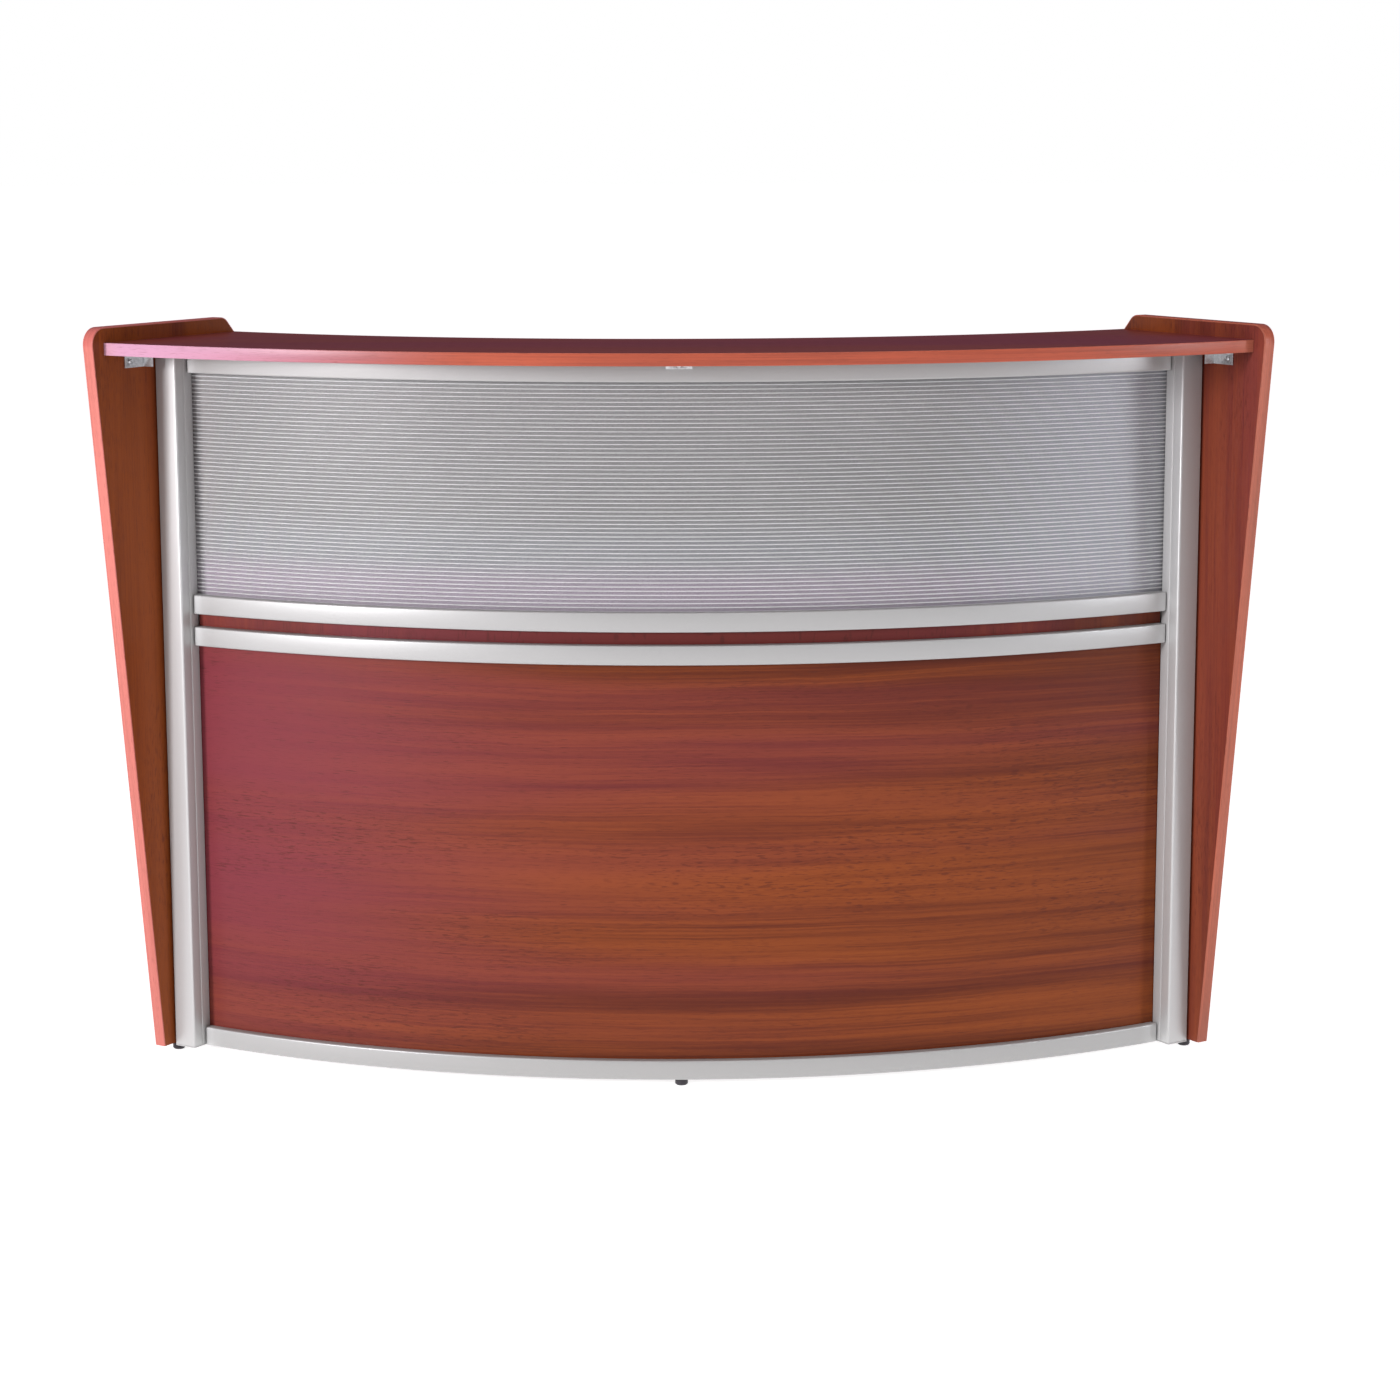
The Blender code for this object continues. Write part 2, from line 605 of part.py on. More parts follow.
def make_grommet(side, sign, worktop, mats):
    """A cable grommet: a liner in the work surface, and a turning cap with a notch for the cables."""
    x = GROMMET_RING * math.sin(sign * GROMMET_ANGLE)
    y = ARC_Y - GROMMET_RING * math.cos(GROMMET_ANGLE)
    deck = WORKTOP_TOP + GAP
    ledge = deck - 0.0025
    liner = [(GROMMET_BORE, deck + 0.0020), (GROMMET_FLANGE - 0.001, deck + 0.0020),
             (GROMMET_FLANGE, deck + 0.001), (GROMMET_FLANGE, deck), (GROMMET_HOLE - GAP, deck),
             (GROMMET_HOLE - GAP, deck - BOARD), (GROMMET_LEDGE, deck - BOARD), (GROMMET_LEDGE, ledge),
             (GROMMET_BORE, ledge)]
    turned(side + "_cable_grommet", liner, mats["gray_plastic"], (x, y, 0), sides=GROMMET_SIDES)
    bore([worktop], side + "_grommet_hole", GROMMET_HOLE, BOARD + 0.02, (x, y, WORKTOP_UNDER - 0.01),
         sides=GROMMET_SIDES)
    thickness = 0.0038
    bm = bmesh.new()
    bmesh.ops.create_cone(bm, cap_ends=True, segments=GROMMET_SIDES, radius1=GROMMET_BORE - 0.0005,
                          radius2=GROMMET_BORE - 0.0005, depth=thickness)
    cap = solid_from_bmesh(side + "_grommet_cap", bm, mats["gray_plastic"])
    cap.location = (x, y, ledge + GAP + thickness / 2)
    notch_y = y + GROMMET_LEDGE - CABLE_NOTCH
    bore([cap], side + "_cable_notch", CABLE_NOTCH, 0.02, (x, notch_y, ledge - 0.005))
    mouth = box(side + "_notch_mouth", (-CABLE_NOTCH, CABLE_NOTCH), (0, 0.02), (-0.01, 0.01), None, cutter=True,
                location=(x, notch_y, ledge))
    combine(cap, mouth, "DIFFERENCE")


def make_end(side, sign, frame, shelf, worktop, mats):
    panel = make_end_panel(side, sign, frame, mats)
    post = make_post(side, sign, frame, mats)
    top = SHELF_UNDER - GAP - CAP_PLATE / 2
    make_post_cap(side + "_post_top_cap", sign, top, -CAP_SPIGOT, frame, mats)
    make_post_cap(side + "_post_foot_cap", sign, POST_FOOT + CAP_PLATE / 2, CAP_SPIGOT, frame, mats)
    make_end_bracket(side, sign, frame, panel, shelf, mats)
    make_cleat(side, sign, frame, panel, worktop, mats)
    for level, z in (("upper", 0.92), ("lower", 0.20)):
        make_post_fixing(side, sign, frame, level, z, panel, post, mats)
    for end, radius in (("front", END_FOOT_FRONT - 0.046), ("rear", END_REAR + 0.050)):
        make_glide(f"{side}_{end}_glide", (radius, sign * BOARD / 2), END_FOOT, panel, mats, frame)


def make_rails(mats):
    make_rail("upper_mid_rail", UPPER_RAIL_Z, RAIL_HEIGHT, mats, top_groove=True)
    make_rail("lower_mid_rail", LOWER_RAIL_Z, RAIL_HEIGHT, mats, bottom_groove=True)
    top = make_rail("top_rail", TOP_RAIL_Z, TOP_RAIL_HEIGHT, mats, bottom_groove=True)
    bottom = make_rail("bottom_rail", BOTTOM_RAIL_Z, RAIL_HEIGHT, mats, top_groove=True)
    return top, bottom


def main():
    clear_scene()
    mats = make_materials()
    frames = make_end_frames()
    shelf = make_shelf(mats)
    worktop = make_worktop(mats)
    for side, sign in SIDES:
        make_end(side, sign, frames[side], shelf, worktop, mats)
    top_rail, bottom_rail = make_rails(mats)
    make_panels(mats)
    make_center_bracket(top_rail, shelf, mats)
    make_glide("center_glide", (0, ARC_Y - RAIL_FRONT + RAIL_DEPTH * 0.6), BOTTOM_RAIL_Z, bottom_rail, mats,
               stem=CENTER_STEM_LENGTH)
    for side, sign in SIDES:
        make_grommet(side, sign, worktop, mats)


main()
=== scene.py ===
# %% [markdown]
# # A curved reception and checkout counter
#
# The counter is a silver frame of two posts and four curved rails between two splayed end boards. A ribbed
# translucent sheet fills the frame above, a laminated panel fills it below, and a shelf and a work surface
# are laid on it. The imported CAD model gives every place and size. This notebook loads it, gives each piece
# its finish, and replaces the pieces whose curves, arrises or inner structure need a finer mesh.

import json
import math

import bmesh
import bpy
from mathutils import Matrix, Vector

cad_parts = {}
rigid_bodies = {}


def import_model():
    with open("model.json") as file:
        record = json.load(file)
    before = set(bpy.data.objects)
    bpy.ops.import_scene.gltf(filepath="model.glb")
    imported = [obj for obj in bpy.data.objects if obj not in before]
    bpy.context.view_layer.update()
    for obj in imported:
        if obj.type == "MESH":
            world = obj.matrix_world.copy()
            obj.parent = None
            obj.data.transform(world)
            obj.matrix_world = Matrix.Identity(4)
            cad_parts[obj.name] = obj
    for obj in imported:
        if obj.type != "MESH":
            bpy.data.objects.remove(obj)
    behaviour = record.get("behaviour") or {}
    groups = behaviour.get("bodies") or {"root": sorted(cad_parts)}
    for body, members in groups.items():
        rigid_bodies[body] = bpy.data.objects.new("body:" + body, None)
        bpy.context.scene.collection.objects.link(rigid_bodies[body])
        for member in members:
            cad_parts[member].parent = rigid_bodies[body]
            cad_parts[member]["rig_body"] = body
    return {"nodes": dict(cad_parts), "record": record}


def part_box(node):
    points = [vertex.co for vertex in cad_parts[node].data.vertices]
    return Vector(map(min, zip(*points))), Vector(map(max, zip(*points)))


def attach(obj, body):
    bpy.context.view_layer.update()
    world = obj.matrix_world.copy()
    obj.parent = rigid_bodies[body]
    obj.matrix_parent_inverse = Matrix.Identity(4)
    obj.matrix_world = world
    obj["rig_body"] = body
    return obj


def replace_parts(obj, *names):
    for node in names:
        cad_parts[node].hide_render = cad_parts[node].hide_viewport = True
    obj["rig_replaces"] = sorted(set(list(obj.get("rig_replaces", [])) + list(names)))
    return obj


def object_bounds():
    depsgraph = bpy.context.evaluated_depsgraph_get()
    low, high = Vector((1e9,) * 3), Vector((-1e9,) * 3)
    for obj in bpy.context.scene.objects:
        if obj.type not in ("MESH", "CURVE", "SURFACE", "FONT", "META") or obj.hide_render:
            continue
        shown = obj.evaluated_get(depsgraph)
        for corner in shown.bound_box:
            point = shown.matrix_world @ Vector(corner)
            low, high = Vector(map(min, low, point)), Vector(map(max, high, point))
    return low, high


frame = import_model()
cad_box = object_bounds()
slot_of = {part["node"]: part["material_slot"] for part in frame["record"]["subparts"]}

# %% [markdown]
# ## The plan that everything follows
#
# All the curved pieces turn about one upright axis behind the counter. The radii are the cabinet maker's
# sizes, and the axis is found from them: it stands one shelf radius behind the foremost point of the shelf.

# %% Radii, the arc's axis and the ends
HALF_ANGLE = math.radians(32)
SHELF_FRONT = 1.652
SHELF_BACK = 1.342
RAIL_FRONT = 1.5145
RAIL_BACK = 1.4825
PANEL_FRONT = 1.500
PANEL_BACK = 1.492
WORKTOP_REAR = 0.973
POST_INNER = 0.043
SLOT_BITE = 0.007
BAND = 0.002
GLUE_LINE = 0.00015

arc_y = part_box("counter_front_edge_band")[0].y + SHELF_FRONT
end_turn = {"left": -HALF_ANGLE, "right": HALF_ANGLE}


def angle_inside(radius, off):
    """The half angle at which an arc meets the line this far inside the end's plane."""
    return HALF_ANGLE - math.asin(off / radius)


def heights(node):
    """The lowest and highest point of a node."""
    low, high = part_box(node)
    return low.z, high.z


print("arc axis at y =", round(arc_y, 4))

# %% [markdown]
# ## Making a piece
#
# A new piece is a mesh in the frame's own coordinates, with its object left at the origin. It rides on a
# body of the imported model, takes over the nodes that it stands for, and wears its finish as its one
# material. Faces meet smoothly where they bend less than a third of a right angle, and crisply elsewhere.

# %% From a bmesh to a piece
SMOOTH_BELOW = math.radians(32)


def finish_mesh(name, bm):
    """Closes a bmesh into an object with outward faces and smooth bends."""
    bmesh.ops.recalc_face_normals(bm, faces=bm.faces)
    mesh = bpy.data.meshes.new(name)
    bm.to_mesh(mesh)
    bm.free()
    mesh.shade_smooth()
    mesh.set_sharp_from_angle(angle=SMOOTH_BELOW)
    piece = bpy.data.objects.new(name, mesh)
    bpy.context.scene.collection.objects.link(piece)
    return piece


def place_piece(piece, material, *nodes):
    """Gives a piece its finish, its body and the nodes that it replaces."""
    piece.data.materials.clear()
    piece.data.materials.append(material)
    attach(piece, frame["nodes"][nodes[0]]["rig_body"])
    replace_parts(piece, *nodes)


# %% [markdown]
# A curved piece is one section spun about the axis. The section is a polygon of corners, each a radius and a
# height, and its corners are rounded first with a vertex bevel, so the arrises catch the light as real ones
# do.

# %% Sweep a section
ARC_STEPS = 96


def spin_about_axis(bm, half_angle, steps=ARC_STEPS):
    """Turns everything in the bmesh, drawn straight ahead of the axis, into a curved solid."""
    bmesh.ops.rotate(bm, matrix=Matrix.Rotation(-half_angle, 3, "Z"), verts=bm.verts)
    whole = bm.verts[:] + bm.edges[:] + bm.faces[:]
    bmesh.ops.spin(bm, geom=whole, axis=(0, 0, 1), angle=2 * half_angle, steps=steps)
    bmesh.ops.translate(bm, vec=(0, arc_y, 0), verts=bm.verts)


def sweep(name, section, half_angle, rounds=None, segments=3):
    """A solid with this section, from one end of the counter to the other."""
    bm = bmesh.new()
    corners = [bm.verts.new((0, -radius, z)) for radius, z in section]
    bm.faces.new(corners)
    for size in sorted(set(rounds or []) - {0}):
        chosen = [corner for corner, own in zip(corners, rounds) if own == size]
        bmesh.ops.bevel(bm, geom=chosen, offset=size, offset_type="OFFSET", segments=segments, profile=0.5,
                        affect="VERTICES", material=-1)
    spin_about_axis(bm, half_angle)
    return finish_mesh(name, bm)


def block(inner, outer, low, high):
    """The four corners of a rectangular section."""
    return [(inner, low), (outer, low), (outer, high), (inner, high)]


# %% [markdown]
# ## Shader maths in Python
#
# A finish is a small program in nodes. One class wraps a socket, so that an expression such as
# `1 - mask * 0.5` adds its own Math nodes, and one method makes any other node.

# %% Sockets and finishes
class Value:
    """A socket that takes part in Python expressions."""

    def __init__(self, paint, socket):
        self.paint = paint
        self.socket = socket

    def maths(self, operation, *values):
        """The result of one Math node."""
        return self.paint.node("Math", {"operation": operation}, dict(enumerate(values)))

    def __add__(self, other):
        return self.maths("ADD", self, other)

    def __sub__(self, other):
        return self.maths("SUBTRACT", self, other)

    def __rsub__(self, other):
        return self.maths("SUBTRACT", other, self)

    def __mul__(self, other):
        return self.maths("MULTIPLY", self, other)

    __radd__ = __add__

    def between(self, low, high):
        """0 below low, 1 above high, and smooth in between."""
        settings = {"interpolation_type": "SMOOTHSTEP"}
        return self.paint.node("MapRange", settings, {"Value": self, "From Min": low, "From Max": high})


class Finish:
    """A material, or the world, under construction."""

    def __init__(self, owner, shader="Principled BSDF", **constants):
        self.owner = bpy.data.materials.new(owner) if isinstance(owner, str) else owner
        self.owner.use_nodes = True
        self.nodes = self.owner.node_tree.nodes
        self.links = self.owner.node_tree.links
        self.shader = self.nodes[shader]
        for key, value in constants.items():
            self.shader.inputs[key.replace("_", " ")].default_value = value

    def put(self, socket, value):
        """Links a value to a socket, or sets the socket."""
        if isinstance(value, Value):
            self.links.new(value.socket, socket)
        else:
            socket.default_value = value

    def node(self, kind, settings=None, values=None, output=0):
        """Any node: its settings first, then its sockets, found by number, identifier or name."""
        made = self.nodes.new("ShaderNode" + kind)
        for key, value in (settings or {}).items():
            setattr(made, key, value)
        known = {socket.identifier: socket for socket in made.inputs}
        for key, value in (values or {}).items():
            socket = made.inputs[key] if isinstance(key, int) else known.get(key) or made.inputs[key]
            self.put(socket, value)
        return Value(self, made.outputs[output])

    def drive(self, **values):
        """Feeds the shader's own sockets."""
        for key, value in values.items():
            self.put(self.shader.inputs[key.replace("_", " ")], value)
        return self.owner

    def place(self, turn=(0, 0, 0)):
        """The piece's own coordinates in metres, turned about the axes, as three values."""
        coords = self.node("TexCoord", output="Object")
        return self.parts(self.node("Mapping", None, {"Vector": coords, "Rotation": turn}))

    def parts(self, vector):
        """A vector's three values."""
        split = self.node("SeparateXYZ", None, {"Vector": vector})
        return [Value(self, output) for output in split.socket.node.outputs]

    def vector(self, x, y, z):
        """A vector from three values."""
        return self.node("CombineXYZ", None, {"X": x, "Y": y, "Z": z})

    def noise(self, vector, scale=1.0, detail=2.0, roughness=0.5):
        """Soft noise of about 0.5, with this many features to the metre."""
        values = {"Vector": vector, "Scale": scale, "Detail": detail, "Roughness": roughness}
        return self.node("TexNoise", None, values, "Fac")

    def mix(self, factor, a, b):
        """A colour between two colours."""
        settings = {"data_type": "RGBA", "clamp_factor": True}
        return self.node("Mix", settings, {"Factor_Float": factor, "A_Color": a, "B_Color": b}, 2)

    def bump(self, height, distance, strength):
        """The normal of a surface whose height, 0 to 1, stands for this distance in metres."""
        values = {"Height": height, "Distance": distance, "Strength": strength}
        return self.node("Bump", None, values, "Normal")


def rgb(red, green, blue):
    """A linear colour for a socket."""
    return (red, green, blue, 1.0)


print("shader helpers ready")

# %% [markdown]
# ## Cherry laminate
#
# The boards wear a printed cherry or mahogany laminate with a satin seal. Its grain is long and nearly
# straight, with broad bands that drift from orange brown to burgundy, finer streaks inside them, patches of
# short wavy flecks, and pores like fine scratches. Every layer is noise that changes slowly along the grain
# and fast across it. The front panel is bent, and because its grain runs level, slow change along both X and
# Y follows the bend without any unwrapping.

# %% The laminate
CHERRY_DARK = rgb(0.084, 0.0160, 0.0066)
CHERRY_LIGHT = rgb(0.206, 0.0475, 0.0108)
# Burgundy of the grain's red bands, also the colour of the painted pink reflection at the left.
WINE_RED_AND_REFLECTION = rgb(0.160, 0.0255, 0.038)
FLECK_BROWN = rgb(0.060, 0.013, 0.009)
PORE_BROWN = rgb(0.050, 0.012, 0.010)


def cherry(name, across, turn=(0, 0, 0), wine=0.0, painted_reflection_left=0.0, lift=0.0):
    """Cherry laminate whose figure changes fast along one axis of its turned coordinates. Wine is how much
    burgundy it holds, the left amount how much more it gains to the left as a painted pink reflection of the
    left light, and lift how pale it is."""
    paint = Finish(name, Specular_IOR_Level=0.12)
    axes = paint.place(turn)
    a = axes.pop(across)
    u, v = axes

    def layer(along, over, offset=0.0, detail=2.0, roughness=0.5):
        """Noise with this many features to the metre along the grain and over it."""
        place = paint.vector(u * along + offset, v * along, a * over)
        return paint.noise(place, 1.0, detail, roughness)

    wander = layer(1.1, 3.0, 7.3)
    ripple = layer(11.0, 26.0, 3.1)
    a = a + (wander - 0.5) * 0.030 + (ripple - 0.5) * 0.0035
    broad = layer(0.5, 11.0, 0.0, 2.0, 0.45)
    middle = layer(1.1, 52.0, 5.0, 3.0, 0.55)
    fine = layer(3.0, 330.0, 9.0, 3.0, 0.6)
    figure = broad * 0.75 + middle * 0.55 + fine * 0.42
    tone = figure.between(0.62 - lift, 1.08 - lift)
    light = paint.mix(tone, CHERRY_DARK, CHERRY_LIGHT)
    # Painted reflection: this mask grows to the left, where the added burgundy stands for the pink reflection
    # of the left light.
    left = (0.0 - u).between(0.10, 0.75)
    red = layer(0.35, 5.0, 21.0).between(0.42, 0.62) * 0.4 + left * painted_reflection_left + wine
    base = paint.mix(red, light, WINE_RED_AND_REFLECTION)
    patch = layer(2.2, 9.0, 13.0).between(0.48, 0.66)
    flecks = layer(55.0, 420.0, 2.0, 2.0, 0.5).between(0.54, 0.68) * patch
    pores = layer(42.0, 1500.0, 4.0, 1.0, 0.5).between(0.60, 0.70)
    dark = paint.mix(flecks * 0.5, base, FLECK_BROWN)
    colour = paint.mix(pores * 0.45, dark, PORE_BROWN)
    smear = layer(4.0, 6.0, 31.0, 3.0, 0.6)
    sheen = 0.33 + (smear - 0.5) * 0.12 + pores * 0.12
    relief = paint.bump(fine * 0.5 - pores, 0.00006, 0.5)
    return paint.drive(Base_Color=colour, Roughness=sheen, Normal=relief)


# The end boards' coordinates are turned so that one axis runs through the board's thickness.
turned = {side: (0, 0, -turn) for side, turn in end_turn.items()}
# The front panel and the work surface carry the painted pink reflection towards their left.
cherry_level = cherry("cherry_front_panel", across=2, painted_reflection_left=0.5)
cherry_deck = cherry("cherry_deck", across=1, wine=0.55, lift=0.3)
# Painted shade: the work surface's laminate is darker, for the shade in the recess between the middle rails
# where its front edge shows.
cherry_desk = cherry("cherry_desk", across=1, painted_reflection_left=0.5, lift=-0.22)
# Painted light: the left end board is paler and less burgundy than the right one, a lit copy of the same
# laminate.
cherry_upright = {
    "left": cherry("cherry_left_end", 1, turned["left"], wine=-0.3, lift=0.16),
    "right": cherry("cherry_right_end", 1, turned["right"], wine=0.05),
}
print("cherry laminate:", 3 + len(cherry_upright), "finishes")

# %% [markdown]
# ## Edge banding
#
# The cut edges are covered with a thin strip that is lighter and more orange than the boards. It has fine
# streaks along its length, and its arrises are paler, partly scraped and partly a painted highlight. The
# level bands pale to pink towards the left, a painted highlight of the left light, and the left end's band
# is paler and pinker all over, a painted highlight too.

# %% The banding
BAND_DARK = rgb(0.210, 0.034, 0.018)
BAND_LIGHT = rgb(0.345, 0.060, 0.028)
# Painted highlight: the left end's band is paler and pinker, as if lit by the left light.
HIGHLIT_LEFT_BAND_DARK = rgb(0.36, 0.074, 0.066)
HIGHLIT_LEFT_BAND_LIGHT = rgb(0.46, 0.108, 0.098)
PAINTED_HIGHLIGHT_PINK = rgb(0.44, 0.235, 0.355)
WORN_AND_HIGHLIT_EDGE = rgb(0.74, 0.42, 0.30)
BAND_PORE = rgb(0.10, 0.03, 0.02)


def banding(name, across, turn=(0, 0, 0), dark=BAND_DARK, light=BAND_LIGHT, painted_highlight_left=0.0):
    """Banding whose streaks are stacked along one axis, across the strip. The pink amount is how far it pales
    to pink to the left, a painted highlight of the left light."""
    paint = Finish(name, Specular_IOR_Level=0.18)
    axes = paint.place(turn)
    a = axes.pop(across)
    u, v = axes
    streak = paint.noise(paint.vector(u * 2.5, v * 2.5, a * 520), 1.0, 3.0, 0.6)
    slow = paint.noise(paint.vector(u * 3.0, v * 3.0, a * 30 + 5), 1.0, 2.0, 0.5)
    grain = paint.noise(paint.vector(u * 60 + 3, v * 60, a * 1700), 1.0, 1.0, 0.5)
    pores = grain.between(0.6, 0.7)
    tone = (streak * 0.6 + slow * 0.4).between(0.34, 0.66)
    streaked = paint.mix(tone, dark, light)
    # Painted highlight: the band pales to pink towards the left, where the left light glints on it.
    base = paint.mix((0.0 - u).between(0.30, 0.85) * painted_highlight_left, streaked, PAINTED_HIGHLIGHT_PINK)
    # Paler arrises: partly scraped wear and partly a painted highlight along the edges.
    edge = paint.node("NewGeometry", output="Pointiness").between(0.505, 0.56)
    worn_and_highlit = paint.mix(edge * 0.14, base, WORN_AND_HIGHLIT_EDGE)
    colour = paint.mix(pores * 0.35, worn_and_highlit, BAND_PORE)
    return paint.drive(Base_Color=colour, Roughness=0.30 + slow * 0.10,
                       Normal=paint.bump(streak - pores * 0.5, 0.00005, 0.5))


band_level = banding("edge_band_level", across=2, painted_highlight_left=0.9)
# The left end's band takes the paler, pinker colours of its painted highlight.
band_upright = {
    "left": banding("edge_band_left_end", 0, turned["left"], HIGHLIT_LEFT_BAND_DARK, HIGHLIT_LEFT_BAND_LIGHT),
    "right": banding("edge_band_right_end", 0, turned["right"]),
}
print("edge banding ready")

# %% [markdown]
# ## Silver powder coat
#
# The posts and rails are painted a satin silver. Close up the paint has a fine orange-peel skin and metallic
# flake, and it is brighter along the arrises, partly wear from rubbing and partly a painted highlight.

# %% The frame's paint
SILVER = (0.33, 0.33, 0.325)
RUBBED_AND_HIGHLIT_SILVER = rgb(0.78, 0.78, 0.78)


def shaded(colour, *shares):
    """Shades of a colour, darker where the share is below 1 and paler above it."""
    return [rgb(*(level * share for level in colour)) for share in shares]


def silver(name, colour):
    """Powder coat with flake, orange peel and brighter arrises, partly wear and partly a painted highlight.
    """
    paint = Finish(name, Metallic=0.35, Specular_IOR_Level=0.5)
    place = paint.vector(*paint.place())
    flake = paint.noise(place, 5200.0, 1.0)
    peel = paint.noise(place, 900.0, 2.0)
    cloud = paint.noise(place, 7.0, 3.0)
    edge = paint.node("NewGeometry", output="Pointiness").between(0.505, 0.57)
    base = paint.mix(flake.between(0.35, 0.65), *shaded(colour, 0.90, 1.10))
    # Brighter arrises: partly wear from rubbing and partly a painted highlight along the edges.
    rubbed_and_highlit = paint.mix(edge * 0.30, base, RUBBED_AND_HIGHLIT_SILVER)
    sheen = 0.40 + (cloud - 0.5) * 0.12 + (flake - 0.5) * 0.08
    return paint.drive(Base_Color=rubbed_and_highlit, Roughness=sheen, Normal=paint.bump(peel, 0.00012, 0.35))


silver_frame = silver("silver_frame_paint", SILVER)
print("silver paint ready")

# %% [markdown]
# ## Zinc, plastics and the translucent sheet
#
# Brackets and screws are bright zinc with a faint spangle. Glides, caps and grommets are moulded plastic with
# a fine spark texture.

# %% Zinc and moulded plastic
ZINC_DULL = rgb(0.40, 0.41, 0.42)
ZINC_BRIGHT = rgb(0.56, 0.57, 0.58)
BLACK = (0.022, 0.018, 0.024)
GRAY = (0.16, 0.16, 0.17)


def zinc(name):
    """Bright zinc plating with a faint spangle over rolled steel."""
    paint = Finish(name, Metallic=0.92)
    place = paint.vector(*paint.place())
    spangle = paint.node("TexVoronoi", {"feature": "F1"}, {"Vector": place, "Scale": 420.0}, "Color")
    grey = paint.node("SeparateColor", None, {"Color": spangle})
    rolled = paint.noise(place, 160.0, 3.0)
    base = paint.mix(grey, ZINC_DULL, ZINC_BRIGHT)
    return paint.drive(Base_Color=base, Roughness=0.26 + grey * 0.10 + rolled * 0.10,
                       Normal=paint.bump(rolled, 0.00008, 0.4))


def moulded(name, colour, roughness):
    """Plastic with a spark-eroded skin and faint flow marks."""
    paint = Finish(name, Specular_IOR_Level=0.45)
    place = paint.vector(*paint.place())
    spark = paint.noise(place, 1700.0, 2.0, 0.6)
    flow = paint.noise(place, 45.0, 2.0)
    base = paint.mix(flow, *shaded(colour, 0.82, 1.2))
    return paint.drive(Base_Color=base, Roughness=roughness + (flow - 0.5) * 0.15,
                       Normal=paint.bump(spark, 0.00010, 0.5))


finish_of = {
    "silver_frame": silver_frame,
    "zinc": zinc("zinc_plate"),
    "black_plastic": moulded("black_plastic_moulded", BLACK, 0.42),
    "gray_plastic": moulded("gray_plastic_moulded", GRAY, 0.45),
}
print("finishes of the small hardware:", len(finish_of))

# %% [markdown]
# The sheet's plastic is clear, but only its front skin shows that. The back skin is frosted on its inner
# face, so it carries the sheet's soft colours. Part of them is painted light: the red work surface showing
# through at the foot, a rosy tint at the left end and a reflection of the right light at the right end.
# Between the two skins the ribs read as pale level lines.

# %% Skins and ribs of the sheet
CLEAR_DIM = rgb(0.42, 0.42, 0.43)
CLEAR_BRIGHT = rgb(0.50, 0.50, 0.51)
FROST_DIM = rgb(0.137, 0.139, 0.134)
FROST_BRIGHT = rgb(0.205, 0.208, 0.202)
FROST_COOL = rgb(0.195, 0.208, 0.225)
PAINTED_ROSY_LIGHT = rgb(0.29, 0.19, 0.18)
PAINTED_WORKTOP_SHOW_THROUGH = rgb(0.270, 0.200, 0.270)
PAINTED_RIGHT_REFLECTION = rgb(0.39, 0.40, 0.455)
RIB_DIM = rgb(0.90, 0.90, 0.91)
RIB_BRIGHT = rgb(1.0, 1.0, 1.0)


def clear_skin(name):
    """The front skin is clear, so only its sheen and a little of its own grey lie over the ribs."""
    paint = Finish(name, Specular_IOR_Level=0.5)
    x, y, z = paint.place()
    cloud = paint.noise(paint.vector(x * 3, y * 3, z * 3), 1.0, 2.0)
    drawn = paint.noise(paint.vector(x * 4, y * 4, z * 700), 1.0, 2.0)
    base = paint.mix(cloud, CLEAR_DIM, CLEAR_BRIGHT)
    return paint.drive(Base_Color=base, Roughness=0.30 + cloud * 0.10, Alpha=0.09 + cloud * 0.05,
                       Normal=paint.bump(drawn, 0.00003, 0.1))


def frosted_skin(name):
    """The back skin cools towards its foot. Its other tints are painted light: lavender at the foot for the
    red work surface showing through, a rosy tint at the left end, and a pale reflection of the right light at
    the right end."""
    paint = Finish(name, Specular_IOR_Level=0.2)
    x, y, z = paint.place()
    cloud = paint.noise(paint.vector(x * 4, y * 4, z * 5), 1.0, 3.0)
    grey = paint.mix(cloud, FROST_DIM, FROST_BRIGHT)
    cool = paint.mix((1.0 - z.between(0.83, 0.90)) * 0.7, grey, FROST_COOL)
    # Painted light: a rosy tint at the left end.
    rosy = paint.mix((0.0 - x).between(0.70, 0.80) * 0.5, cool, PAINTED_ROSY_LIGHT)
    # Painted light: lavender at the foot, for the red work surface showing through the sheet.
    lavender = paint.mix((1.0 - z.between(0.775, 0.825)) * 0.75, rosy, PAINTED_WORKTOP_SHOW_THROUGH)
    # Painted reflection: paler towards the right end, for the reflection of the right light.
    pale = paint.mix(x.between(0.35, 0.71) * 0.8, lavender, PAINTED_RIGHT_REFLECTION)
    return paint.drive(Base_Color=pale, Roughness=0.55 + cloud * 0.1, Alpha=0.90 + cloud * 0.05,
                       Normal=paint.bump(cloud, 0.0002, 0.3))


def sheet_rib(name):
    """The ribs gather light from both skins, so they are nearly white."""
    paint = Finish(name, Specular_IOR_Level=0.5)
    x, y, z = paint.place()
    grit = paint.noise(paint.vector(x * 400, y * 400, z * 900), 1.0, 2.0)
    drift = paint.noise(paint.vector(x * 5, y * 5, z * 40), 1.0, 2.0)
    base = paint.mix(grit * 0.5 + drift * 0.5, RIB_DIM, RIB_BRIGHT)
    return paint.drive(Base_Color=base, Roughness=0.30 + grit * 0.1, Alpha=0.92 + drift * 0.06)


front_plastic = clear_skin("sheet_clear_plastic")
back_plastic = frosted_skin("sheet_frosted_plastic")
rib_plastic = sheet_rib("sheet_rib_plastic")
print("finishes in all:", len(bpy.data.materials))

